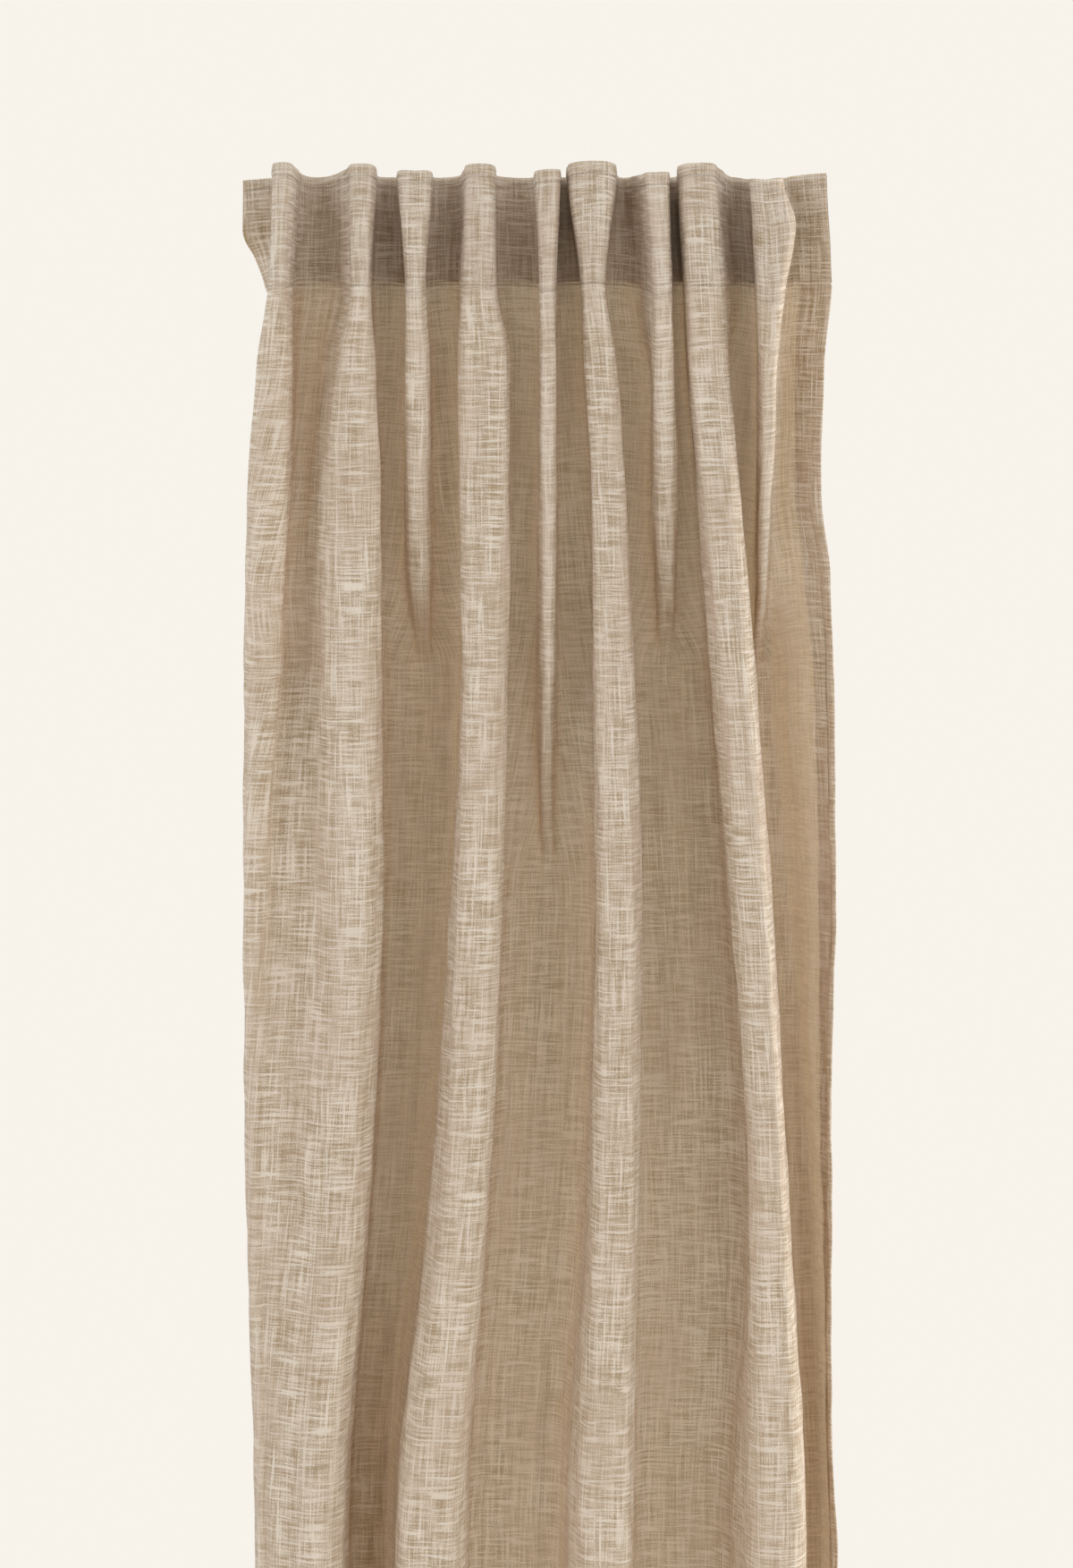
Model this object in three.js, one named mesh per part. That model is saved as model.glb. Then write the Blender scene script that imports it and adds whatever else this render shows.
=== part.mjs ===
// A gathered curtain panel with a hidden-tab heading, as it hangs on a round rod.
// Millimetres, +Z up, front towards -Y. The origin is on the rod's axis, at the gathered panel's middle.
// The cloth is one cut piece. It is divided here at the crest of each fold, so that each tab moves with the
// cloth that hangs from it.
import * as THREE from "three";

// ---- The flat panel ----
const PANEL_WIDTH = 1400;
const PANEL_LENGTH = 2500;
const CLOTH = 1.2;
const SPACING = 0.3; // between sewn layers, and where the cloth is divided
const TAB_COUNT = 10;
const EDGE_TO_TAB = 30; // from a side edge to the middle of the first tab
const TAB_PITCH = (PANEL_WIDTH - 2 * EDGE_TO_TAB) / (TAB_COUNT - 1);

// ---- The rod that the tabs are made for ----
const ROD_DIAMETER = 28;
const ROD_PLAY = 0.3; // between the rod and the layer in front of it
const TOP_ABOVE_ROD = 31;

// ---- Sewn parts ----
const TAPE = 1;
const BAND_HEIGHT = 100; // the heading, from the top edge to its lower seam
const TAPE_INSET = 2;
const TAB_WIDTH = 22;
const TAB_THICKNESS = 1.4;
const TAB_TOP = ROD_DIAMETER / 2 + 5; // the sewn ends, above and below the rod's axis
const TAB_BOTTOM = -(ROD_DIAMETER / 2 + 38);
const TAB_LOOSENESS = 1.5; // between the rod's back and the loop
const SHARPEST_CORNER = 1.75; // limits how far a layer stands out at a sharp corner
const SEWN_GAP = (2 / Math.sqrt(SHARPEST_CORNER) - 1) * (CLOTH / 2 + SPACING + TAPE); // tab to tape
const SEWN_PATCH = 10; // height of the sewn lower end
const [LOOP_FROM, LOOP_TO, LOOP_STEPS] = [120, -15, 9]; // degrees from the back, over the top of the rod
const SIDE_HEM_WIDTH = 25;
const BOTTOM_HEM_HEIGHT = 80;
const HEM = 1;
const LABEL = { width: 22, height: 45, thickness: 0.5, fromBottom: 170, fromHem: 4 };
const LABEL_TOP = PANEL_LENGTH - LABEL.fromBottom - LABEL.height;

// ---- How it is gathered: heights are above the rod's axis ----
const CLOTH_PLANE = -(ROD_DIAMETER / 2 + ROD_PLAY + TAPE + SPACING + CLOTH / 2);
const SEAM = TOP_ABOVE_ROD - BAND_HEIGHT;
const HELD_TO_ROD = [[31, 1], [SEAM - 1, 1], [SEAM - 81, 0], [-2500, 0]]; // 1 where the tabs hold the valleys
const FRONT_PLANE = [[31, -66], [-700, -70], [-2500, -74]]; // the crests' place below the heading
// The left and right side of each fold, from the front, at the heights where they turn.
const FOLDS = [
  [[31, -220, -200], [-68, -223, -204], [-130, -233, -203], [-240, -241, -206], [-350, -245, -213],
    [-500, -246, -220], [-800, -244, -224], [-1120, -235, -222], [-2500, -238, -225]],
  [[31, -157, -133], [-68, -156, -137], [-130, -167, -134], [-240, -177, -130], [-570, -173, -130],
    [-790, -187, -137], [-1120, -209, -159], [-2500, -212, -160]],
  [[31, -117, -86], [-68, -110, -92], [-130, -111, -88], [-300, -111, -88], [-385, -104, -92],
    [-1120, -143, -135], [-2500, -150, -142]],
  [[31, -61, -34], [-68, -64, -33], [-130, -67, -22], [-350, -64, -24], [-570, -72, -28],
    [-825, -88, -39], [-1120, -119, -59], [-2500, -122, -64]],
  [[31, -3, 20], [-68, 1, 16], [-425, 1, 16], [-600, 4, 14], [-1120, -20, -12], [-2500, -24, -16]],
  [[31, 23, 66], [-68, 35, 57], [-130, 38, 66], [-240, 44, 73], [-570, 48, 87], [-825, 43, 85],
    [-1120, 28, 81], [-2500, 26, 80]],
  [[31, 87, 110], [-68, 94, 112], [-240, 96, 117], [-385, 105, 116], [-1120, 122, 130], [-2500, 120, 128]],
  [[31, 115, 150], [-68, 120, 155], [-130, 123, 160], [-240, 133, 170], [-390, 145, 182],
    [-570, 160, 195], [-825, 176, 210], [-1120, 171, 226], [-2500, 170, 224]],
  [[31, 175, 204], [-10, 177, 215], [-68, 180, 205], [-130, 183, 200], [-350, 185, 195],
    [-570, 203, 213], [-1120, 228, 241], [-2500, 228, 241]],
];
// How far in from its sides each fold's feet stand, left and right. A side that faces forward has a foot
// outside it, which is negative.
const FEET = [
  [[31, 4, -4], [-68, 4, -2], [-130, 4, 2], [-350, 4, 0], [-2500, 4, -4]],
  [[31, -18, 4], [-68, -18, 4], [-130, -20, 4], [-350, -14, 4], [-2500, -8, 4]],
  [[31, 4, 4], [-2500, 4, 4]],
  [[31, -4, 4], [-68, -2, 4], [-130, 4, 4], [-350, 4, 4], [-1120, -8, 4], [-2500, -8, 4]],
  [[31, 3, 3], [-2500, 3, 3]],
  [[31, 4, 0], [-130, 4, 4], [-570, 4, 4], [-1120, -10, 4], [-2500, -10, 4]],
  [[31, -12, 4], [-80, -12, 4], [-150, 4, 4], [-2500, 4, 4]],
  [[31, 4, -12], [-80, 4, -12], [-150, 4, 4], [-900, 4, 4], [-1120, -12, 4], [-2500, -12, 4]],
  [[31, 4, 2], [-2500, 4, 2]],
];
const SMALL_FOLD_FADES = [[31, 1], [-80, 1], [-200, 0.8], [-320, 0.42], [-395, 0], [-2500, 0]];
const MIDDLE_FOLD_FADES = [[31, 1], [-80, 1], [-300, 0.8], [-450, 0.4], [-600, 0], [-2500, 0]];
const FULL = [[31, 1], [-2500, 1]];
const FOLD_DEPTHS = [
  [[31, 1.08], [-68, 1.08], [-200, 1], [-500, 0.9], [-1120, 0.84], [-2500, 0.84]],
  FULL, SMALL_FOLD_FADES, FULL, MIDDLE_FOLD_FADES, FULL, SMALL_FOLD_FADES, FULL, SMALL_FOLD_FADES,
];
// How far back each valley goes, between its two folds. The first one is shallow below the heading.
const FIRST_VALLEY = [[31, 1], [-110, 1], [-330, 0.45], [-560, 0.2], [-1120, 0.1], [-2500, 0.1]];
const RIGHT_EDGE = [
  [31, 241, -36], [-68, 245, -36], [-130, 239, -34], [-240, 236, -32], [-310, 244, -31],
  [-600, 249, -30], [-690, 246, -30], [-1010, 246, -30], [-1130, 250, -30], [-2500, 251, -30],
];
// The left edge turns behind the first fold: degrees from +X, seen from above.
const LEFT_EDGE_TURN = [
  [31, 183], [SEAM - 1, 180], [SEAM - 41, 120], [SEAM - 131, 62], [-360, 20], [-560, 8], [-2500, 8],
];
const DEEP_TURN_BELOW = -90; // the last valley is deeper than the others below this height
const TURN_SLOPE = 0.25;
const FADED_FOOT = 2.5; // how far a faded fold's foot stands outside it
const SHOULDER = 0.12; // how far in from its sides a fold's front begins, as a share of its width
const CREST = 3; // how far a crest stands past its shoulders
const LIFT = 10; // the valleys are pulled up over the rod

const SECTION_STEPS = 4; // along the curve, for each point of its outline
const HEM_COLUMNS = 3;
const HEM_TOP = PANEL_LENGTH - BOTTOM_HEM_HEIGHT;
const TAPE_ROWS = [TAPE_INSET, BAND_HEIGHT / 2, BAND_HEIGHT - TAPE_INSET];
const FREE_ROWS = [180, 290, 440, 620, 860, 1150];
const TURN_WIDTH = 9;

const PIVOTS = [1, 3, 5, 7]; // the folds that run the whole length
const LAST_PIVOT = 7;

// The value at height z of a list of [height, value, ...], highest first.
function at(list, z, column = 1) {
  if (z >= list[0][0]) return list[0][column];
  for (let i = 1; i < list.length; i++) {
    const [above, below] = [list[i - 1], list[i]];
    if (z >= below[0]) {
      const share = (above[0] - z) / (above[0] - below[0]);
      return above[column] + share * (below[column] - above[column]);
    }
  }
  return list[list.length - 1][column];
}

const between = (low, value, high) => Math.min(high, Math.max(low, value));

// The outline of the cloth at height z, seen from above, from the left edge to the right one.
// depths holds the depth of the folds in each stretch between pivots, edge is the length of the left flap,
// and turn is how much further back the last valley goes.
function outline(z, depths, edge, turn) {
  const held = at(HELD_TO_ROD, z);
  const floors = depths.map((depth) => held * CLOTH_PLANE + (1 - held) * (at(FRONT_PLANE, z) + depth));
  const stretch = (n) => between(0, Math.floor(n / 2), depths.length - 1);
  const points = [];
  const crests = [];
  const swing = (at(LEFT_EDGE_TURN, z) * Math.PI) / 180;
  const foot = [at(FOLDS[0], z) + at(FEET[0], z), floors[0]];
  for (const reach of [edge, edge - SIDE_HEM_WIDTH])
    points.push([foot[0] + reach * Math.cos(swing), foot[1] + reach * Math.sin(swing)]);
  FOLDS.forEach((fold, i) => {
    const [l, r, full] = [at(fold, z), at(fold, z, 2), at(FOLD_DEPTHS[i], z)];
    const [n, m] = [stretch(i - 2), stretch(i - 1)];
    const [before, after] = [floors[n] - full * depths[n], floors[m] - full * depths[m]];
    const shallow = (1 - at(FIRST_VALLEY, z)) * depths[0];
    const valleyBefore = floors[n] - (i === 1 ? shallow : 0);
    const last = i === LAST_PIVOT ? turn : 0;
    const valleyAfter = floors[m] - (i === 0 ? shallow : 0) + last;
    const [inLeft, inRight] = [1, 2].map((side) => (at(FEET[i], z, side) + FADED_FOOT) * full - FADED_FOOT);
    points.push([l + inLeft, valleyBefore]);
    points.push([l, (valleyBefore + 2 * before) / 3]);
    points.push([l + SHOULDER * (r - l), before]);
    crests.push(points.length);
    points.push([(l + r) / 2, (before + after) / 2 - CREST * full]);
    points.push([r - SHOULDER * (r - l), after]);
    points.push([r, (valleyAfter + 2 * after) / 3]);
    const rightFoot = r - inRight - TURN_SLOPE * last;
    points.push([rightFoot, valleyAfter]);
    if (i === LAST_PIVOT) points.push([rightFoot + TURN_WIDTH, valleyAfter]);
  });
  const [x, y] = [at(RIGHT_EDGE, z), at(RIGHT_EDGE, z, 2)];
  const end = points[points.length - 1];
  const share = SIDE_HEM_WIDTH / Math.hypot(end[0] - x, end[1] - y);
  points.push([x + share * (end[0] - x), y + share * (end[1] - y)], [x, y]);
  return { points, crests, floor: floors[1] };
}

// A smooth curve along the outline: it touches the middle of each side and rounds each corner.
function smooth(points) {
  const curve = [points[0]];
  for (let i = 1; i < points.length - 1; i++) {
    const [a, b, c] = [points[i - 1], points[i], points[i + 1]];
    for (let k = i === 1 ? 0 : 1; k <= SECTION_STEPS; k++) {
      const t = k / SECTION_STEPS;
      const [p, q, r] = [((1 - t) * (1 - t)) / 2, 2 * t * (1 - t), (t * t) / 2];
      const middle = 0.5 * (1 - 2 * t * (1 - t)) + q;
      curve.push([0, 1].map((n) => p * a[n] + middle * b[n] + r * c[n]));
    }
  }
  curve.push(points[points.length - 1]);
  return curve;
}

function lengths(curve) {
  const along = [0];
  for (let i = 1; i < curve.length; i++)
    along.push(along[i - 1] + Math.hypot(curve[i][0] - curve[i - 1][0], curve[i][1] - curve[i - 1][1]));
  return along;
}

// The place on the curve nearest to a point of the outline.
const curveIndex = (point) => (point - 1) * SECTION_STEPS + SECTION_STEPS / 2 + 1;

// The flat distances from the left edge to the pivots' crests, and to the right edge.
const FLAT_STOPS = [
  0, ...PIVOTS.map((fold) => EDGE_TO_TAB + (fold + 0.5) * TAB_PITCH), PANEL_WIDTH,
];

// The cloth at height z, with each stretch at its flat length: the folds' depths take up what is spare.
function section(z) {
  const depths = [50, 50, 50];
  const ends = { edge: EDGE_TO_TAB, turn: 0 };
  const stops = () => {
    const { points, crests, floor } = outline(z, depths, ends.edge, ends.turn);
    const curve = smooth(points);
    const cuts = [0, ...crests.map(curveIndex), curve.length - 1];
    const marks = [0, ...PIVOTS.map((fold) => cuts[fold + 1]), curve.length - 1];
    return { curve, cuts, floor, along: lengths(curve), marks };
  };
  const spare = (n) => {
    const { along, marks } = stops();
    return FLAT_STOPS[n + 1] - FLAT_STOPS[n] - (along[marks[n + 1]] - along[marks[n]]);
  };
  const settle = (n, low, high, set) => {
    for (let i = 0; i < 24; i++) {
      const middle = (low + high) / 2;
      set(middle);
      if (spare(n) > 0) low = middle;
      else high = middle;
    }
  };
  for (let round = 0; round < 3; round++) {
    depths.forEach((_, n) => settle(n + 1, 5, 150, (value) => (depths[n] = value)));
    settle(0, EDGE_TO_TAB - 8, 140, (value) => (ends.edge = value));
    if (z < DEEP_TURN_BELOW) settle(4, 0, 90, (value) => (ends.turn = value));
  }
  return { depth: depths[1], ...stops() };
}

const cache = new Map();
function sectionAt(z) {
  if (!cache.has(z)) cache.set(z, section(z));
  return cache.get(z);
}

// One row of a section's cloth, v below the top edge: its points, and at each the way to the cloth's back,
// which halves the corner there so that the layers stay parallel.
function clothRow(i, v) {
  const { curve, cuts, floor, depth } = sectionAt(TOP_ABOVE_ROD - v);
  const end = curve.length - 1;
  const kept = (k) => k >= cuts[i] && k <= cuts[i + 1] && (k % 2 === 1 || k === 0 || k === end);
  const flat = curve.filter((_, k) => kept(k)).map(([x, y]) => new THREE.Vector2(x, y));
  if (i > 0) flat[0] = nearer(curve, cuts[i], 1);
  if (i < TAB_COUNT - 1) flat[flat.length - 1] = nearer(curve, cuts[i + 1], -1);
  return flat.map((point, j) => {
    const forward = between(0, (floor - point.y) / depth, 1);
    const lift = LIFT * (1 - forward) * between(0, v / BAND_HEIGHT, 1);
    const back = wayBack(flat, j);
    if (j === 0 && i > 0) back.copy(crestBack(curve, cuts[i]));
    if (j === flat.length - 1 && i < TAB_COUNT - 1) back.copy(crestBack(curve, cuts[i + 1]));
    return {
      point: new THREE.Vector3(point.x, point.y, TOP_ABOVE_ROD - v + lift),
      back: new THREE.Vector3(back.x, back.y, 0),
    };
  });
}

// The point half a gap away from place k on the curve, on the side of step.
function nearer(curve, k, step) {
  const from = new THREE.Vector2(...curve[k]);
  return from.add(new THREE.Vector2(...curve[k + step]).sub(from).setLength(SPACING / 2));
}

function normalTo(a, b) {
  return new THREE.Vector2(a.y - b.y, b.x - a.x).normalize();
}

function crestBack(curve, k) {
  return normalTo(new THREE.Vector2(...curve[k - 1]), new THREE.Vector2(...curve[k + 1]));
}

function wayBack(flat, j) {
  if (j === 0) return normalTo(flat[0], flat[1]);
  if (j === flat.length - 1) return normalTo(flat[j - 1], flat[j]);
  const sum = normalTo(flat[j - 1], flat[j]).add(normalTo(flat[j], flat[j + 1]));
  return sum.multiplyScalar(2 / Math.max(sum.lengthSq(), SHARPEST_CORNER));
}

// A layer of cloth over a grid of rows, between two offsets from the middle of the cloth.
function layer(grid, nearest, furthest) {
  const positions = [];
  const add = (...corners) => corners.forEach((p) => positions.push(p.x, p.y, p.z));
  const moved = (offset) => ({ point, back }) => point.clone().addScaledVector(back, offset);
  const shifted = (offset) => grid.map((row) => row.map(moved(offset)));
  const steps = grid[0].length - 1;
  const last = grid.length - 1;
  const front = shifted(nearest);
  const back = shifted(furthest);
  const quad = (a, b, c, d) => {
    add(a, b, c);
    add(a, c, d);
  };
  for (let i = 0; i < last; i++) {
    for (let j = 0; j < steps; j++) {
      quad(front[i + 1][j], front[i + 1][j + 1], front[i][j + 1], front[i][j]);
      quad(back[i][j + 1], back[i + 1][j + 1], back[i + 1][j], back[i][j]);
    }
    quad(front[i][0], back[i][0], back[i + 1][0], front[i + 1][0]);
    quad(front[i + 1][steps], back[i + 1][steps], back[i][steps], front[i][steps]);
  }
  for (let j = 0; j < steps; j++) {
    quad(front[0][j], front[0][j + 1], back[0][j + 1], back[0][j]);
    quad(back[last][j], back[last][j + 1], front[last][j + 1], front[last][j]);
  }
  const geometry = new THREE.BufferGeometry();
  geometry.setAttribute("position", new THREE.Float32BufferAttribute(positions, 3));
  geometry.computeVertexNormals();
  return geometry;
}

// The middle of tab i along the rod: between the feet of the folds beside it.
function valleyAt(i) {
  const left = i === 0 ? at(FOLDS[0], 0) - EDGE_TO_TAB / 2 : at(FOLDS[i - 1], 0, 2);
  const right = i === TAB_COUNT - 1 ? at(RIGHT_EDGE, 0) - EDGE_TO_TAB / 2 : at(FOLDS[i], 0);
  return (left + right) / 2;
}

// A tab: a woven strap sewn to the tape above the rod, round behind the rod, and sewn again near the seam.
function tabGeometry() {
  const sewn = -(ROD_DIAMETER / 2 + ROD_PLAY) + SEWN_GAP;
  const inner = ROD_DIAMETER / 2 + TAB_LOOSENESS;
  const loop = (radius) =>
    Array.from({ length: LOOP_STEPS + 1 }, (_, k) => {
      const angle = THREE.MathUtils.degToRad(LOOP_FROM + ((LOOP_TO - LOOP_FROM) * k) / LOOP_STEPS);
      return [radius * Math.cos(angle), radius * Math.sin(angle)];
    });
  const sewnBack = sewn + TAB_THICKNESS;
  const patchTop = TAB_BOTTOM + SEWN_PATCH;
  const inside = [[sewn, TAB_TOP - SEWN_PATCH / 2], ...loop(inner), [sewn, patchTop + TAB_THICKNESS]];
  const overRod = loop(inner + TAB_THICKNESS);
  const outside = [[sewn, TAB_TOP], ...overRod, [sewnBack, patchTop], [sewnBack, TAB_BOTTOM]];
  const outlinePoints = [...inside, [sewn, TAB_BOTTOM], ...outside.reverse()];
  const shape = new THREE.Shape(outlinePoints.map(([y, z]) => new THREE.Vector2(y, z)));
  const geometry = new THREE.ExtrudeGeometry(shape, { depth: TAB_WIDTH, bevelEnabled: false });
  geometry.rotateX(Math.PI / 2);
  geometry.rotateZ(Math.PI / 2);
  geometry.translate(-TAB_WIDTH / 2, 0, 0);
  return geometry;
}

const linen = new THREE.MeshStandardMaterial({ color: 0xc3ae94, roughness: 0.95, metalness: 0 });
const webbing = new THREE.MeshStandardMaterial({ color: 0xd8ccb8, roughness: 0.9, metalness: 0 });
const satin = new THREE.MeshStandardMaterial({ color: 0xefeae0, roughness: 0.6, metalness: 0 });

const panel = new THREE.Group();
function addPiece(name, geometry, material) {
  const mesh = new THREE.Mesh(geometry, material);
  mesh.name = name;
  panel.add(mesh);
  return mesh;
}

const number = (i) => String(i).padStart(2, "0");
const behind = (thickness) => [CLOTH / 2 + SPACING, CLOTH / 2 + SPACING + thickness];

// The label lies flat behind the left flap, next to the side hem. The cloth is straight between the rows
// above and below it.
function labelGrid() {
  const [above, below] = [FREE_ROWS[FREE_ROWS.length - 1], HEM_TOP - SPACING];
  const [upper, lower] = [above, below].map((v) => clothRow(0, v));
  return [LABEL_TOP, LABEL_TOP + LABEL.height].map((v) => {
    const share = (v - above) / (below - above);
    const columns = [0, HEM_COLUMNS - 1];
    const [edge, hem] = columns.map((k) => upper[k].point.clone().lerp(lower[k].point, share));
    const along = hem.clone().sub(edge).normalize();
    const back = normalTo(edge, hem);
    return [0, LABEL.width].map((reach) => ({
      point: hem.clone().addScaledVector(along, LABEL.fromHem + reach),
      back: new THREE.Vector3(back.x, back.y, 0),
    }));
  });
}

const ROWS = [0, ...TAPE_ROWS, BAND_HEIGHT, ...FREE_ROWS, HEM_TOP - SPACING, HEM_TOP, PANEL_LENGTH];
for (let i = 0; i < TAB_COUNT; i++) {
  const grid = ROWS.map((v) => clothRow(i, v));
  const part = (from, to, start, end) =>
    grid.filter((_, k) => ROWS[k] >= from && ROWS[k] <= to).map((row) => row.slice(start, end));
  const sideHem = (start, end) => layer(part(BAND_HEIGHT, HEM_TOP - SPACING, start, end), ...behind(HEM));
  const tapeGrid = part(TAPE_ROWS[0], TAPE_ROWS[TAPE_ROWS.length - 1]);
  addPiece(`cloth_section_${number(i)}`, layer(grid, -CLOTH / 2, CLOTH / 2), linen);
  addPiece(`heading_tape_${number(i)}`, layer(tapeGrid, ...behind(TAPE)), webbing);
  addPiece(`bottom_hem_${number(i)}`, layer(part(HEM_TOP, PANEL_LENGTH), ...behind(HEM)), linen);
  if (i === 0) addPiece("side_hem_left", sideHem(0, HEM_COLUMNS), linen);
  if (i === TAB_COUNT - 1) addPiece("side_hem_right", sideHem(-HEM_COLUMNS), linen);
  const tab = addPiece(`back_tab_${number(i)}`, tabGeometry(), webbing);
  tab.position.x = valleyAt(i);
}
addPiece("care_label", layer(labelGrid(), ...behind(LABEL.thickness)), satin);

export default panel;
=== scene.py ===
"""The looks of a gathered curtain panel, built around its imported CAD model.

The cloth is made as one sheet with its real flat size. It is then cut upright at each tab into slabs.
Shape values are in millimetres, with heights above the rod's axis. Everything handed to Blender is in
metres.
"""

import math

import bmesh
import bpy
import numpy as np
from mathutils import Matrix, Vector


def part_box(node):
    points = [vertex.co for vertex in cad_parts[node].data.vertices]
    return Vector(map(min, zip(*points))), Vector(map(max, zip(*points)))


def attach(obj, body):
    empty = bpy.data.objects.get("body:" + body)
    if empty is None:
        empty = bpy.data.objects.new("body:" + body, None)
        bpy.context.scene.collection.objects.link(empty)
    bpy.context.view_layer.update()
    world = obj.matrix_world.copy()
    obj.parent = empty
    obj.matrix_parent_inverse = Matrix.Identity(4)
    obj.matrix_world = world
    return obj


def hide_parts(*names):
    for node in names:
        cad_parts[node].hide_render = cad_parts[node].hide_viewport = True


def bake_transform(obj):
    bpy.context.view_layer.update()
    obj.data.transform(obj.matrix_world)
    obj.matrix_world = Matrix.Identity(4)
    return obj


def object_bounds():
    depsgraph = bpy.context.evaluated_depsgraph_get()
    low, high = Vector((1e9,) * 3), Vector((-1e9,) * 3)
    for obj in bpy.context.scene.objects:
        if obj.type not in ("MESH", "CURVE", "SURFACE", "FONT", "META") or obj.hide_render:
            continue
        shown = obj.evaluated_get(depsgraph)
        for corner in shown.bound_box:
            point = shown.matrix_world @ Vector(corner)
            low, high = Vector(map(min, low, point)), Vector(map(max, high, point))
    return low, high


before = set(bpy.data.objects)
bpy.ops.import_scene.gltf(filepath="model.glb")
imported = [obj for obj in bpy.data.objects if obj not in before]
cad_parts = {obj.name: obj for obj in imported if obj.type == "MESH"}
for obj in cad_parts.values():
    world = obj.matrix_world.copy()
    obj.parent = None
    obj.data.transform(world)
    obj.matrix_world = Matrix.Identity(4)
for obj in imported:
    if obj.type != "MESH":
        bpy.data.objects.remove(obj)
cad_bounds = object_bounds()

MM = 0.001
TAB_COUNT = sum(node.startswith("back_tab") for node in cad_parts)
TABS = [f"{i:02d}" for i in range(TAB_COUNT)]

# ---- Sizes shared with the CAD ----
PANEL_WIDTH = 1400.0
PANEL_LENGTH = (cad_bounds[1].z - cad_bounds[0].z) / MM
TOP = cad_bounds[1].z / MM
EDGE_TO_TAB = 30.0
TAB_PITCH = (PANEL_WIDTH - 2 * EDGE_TO_TAB) / (TAB_COUNT - 1)
BAND_HEIGHT = 100.0
SIDE_HEM_WIDTH = 25.0
BOTTOM_HEM_HEIGHT = 80.0
TAPE_INSET = 2.0
TAB_WIDTH = 22.0
TAB_THICKNESS = 1.4
TAB_LOOP = 16.2  # radius of the strap's middle round the rod's axis
TAB_SEWN = -12.7  # where the middle of the strap's sewn ends stands, along Y
TAB_TOP = 19.0
TAB_BOTTOM = -52.0
SEWN_PATCH = 10.0  # the height of the strap's lower sewn end
LABEL = {"width": 22.0, "height": 45.0, "from_edge": 34.0, "from_bottom": 170.0}
LABEL_NEAR = (0.7, 0.5)  # the near half's distance behind the cloth at its sewn end, and its growth
LABEL_FAR = (0.9, 2.2)  # the far half's, in the same way
LABEL_FOLD = 0.5  # between the two halves at the fold
CLOTH_PLANE = -16.2
LIFT = 10.0  # how much higher the valleys hang than the crests, below the heading

# ---- Sewing ----
TOP_STITCH = 10.0  # below the top edge
HEM_SEAM = PANEL_LENGTH - BOTTOM_HEM_HEIGHT  # below the top edge
SIDE_STITCH = SIDE_HEM_WIDTH - 2  # from the edge
STITCH_PITCH = 3.0
STITCH = (1.1, 0.3, 0.25)  # half its length and width, and its height
STITCH_STANDS = 0.1  # in front of the middle of the cloth
LAYER_GAP = 1.4  # from the middle of the cloth to the middle of the layer sewn behind it
SEWN_DOWN = 0.3  # the same where the layer's edge is sewn down
TURN_ANGLES = (0, 45, 90, 135, 180)  # degrees round a hem's turned edge
EDGE_SLOPE_OVER = 3  # from the edge, over which the cloth's way out there is taken

# Each sewn line across the cloth: its place below the top edge, the depth and width of its groove, and
# the depth and width of its puckers.
SEWN_LINES = [
    (BAND_HEIGHT, (0.6, 1.8), (0.45, 9)),
    (TOP_STITCH, (0.4, 1.5), (0.2, 6)),
    (HEM_SEAM, (0.4, 1.8), (0.25, 9)),
]
TOP_PUFF = 0.5  # how far the top hem puffs out
ROLLED_EDGE = 11.0  # the width of the right edge's roll, below the heading
ROLL_GROOVE = (0.8, 2.2)  # the depth and width of the groove beside the roll
ROLL_HEIGHT = 1.8
ROLL_STARTS = 60  # below the heading
ROLL_GROWS_OVER = 250

# ---- How it is gathered: tables of height and value, or of height and two values ----
# How nearly the valleys stand where the tabs hold them, from 1 in the heading to 0 where they hang free.
HELD_TO_ROD = [(31, 1), (-70, 1), (-150, 0), (-2500, 0)]
# Where the crests stand, along Y.
FRONT_PLANE = [(31, -66), (-700, -70), (-2500, -74)]
# The left and right side of each fold, along X.
FOLDS = [
    [(31, -220, -200), (-68, -223, -204), (-130, -233, -203), (-240, -241, -206), (-350, -245, -213),
     (-500, -246, -220), (-800, -244, -224), (-1120, -235, -222), (-2500, -238, -225)],
    [(31, -157, -133), (-68, -156, -137), (-130, -167, -134), (-240, -177, -130), (-570, -173, -130),
     (-790, -187, -137), (-1120, -209, -159), (-2500, -212, -160)],
    [(31, -117, -86), (-68, -110, -92), (-130, -111, -88), (-300, -111, -88), (-385, -104, -92),
     (-1120, -143, -135), (-2500, -150, -142)],
    [(31, -61, -34), (-68, -64, -33), (-130, -67, -22), (-350, -64, -24), (-570, -72, -28),
     (-825, -88, -39), (-1120, -119, -59), (-2500, -122, -64)],
    [(31, -3, 20), (-68, 1, 16), (-425, 1, 16), (-600, 4, 14), (-1120, -20, -12), (-2500, -24, -16)],
    [(31, 23, 66), (-68, 35, 57), (-130, 38, 66), (-240, 44, 73), (-570, 48, 87), (-825, 43, 85),
     (-1120, 28, 81), (-2500, 26, 80)],
    [(31, 87, 110), (-68, 94, 112), (-240, 96, 117), (-385, 105, 116), (-1120, 122, 130),
     (-2500, 120, 128)],
    [(31, 115, 150), (-68, 120, 155), (-130, 123, 160), (-240, 133, 170), (-390, 145, 182),
     (-570, 160, 195), (-825, 176, 210), (-1120, 171, 226), (-2500, 170, 224)],
    [(31, 175, 204), (-10, 177, 215), (-68, 180, 205), (-130, 183, 200), (-350, 185, 195),
     (-570, 203, 213), (-1120, 228, 241), (-2500, 228, 241)],
]
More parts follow.
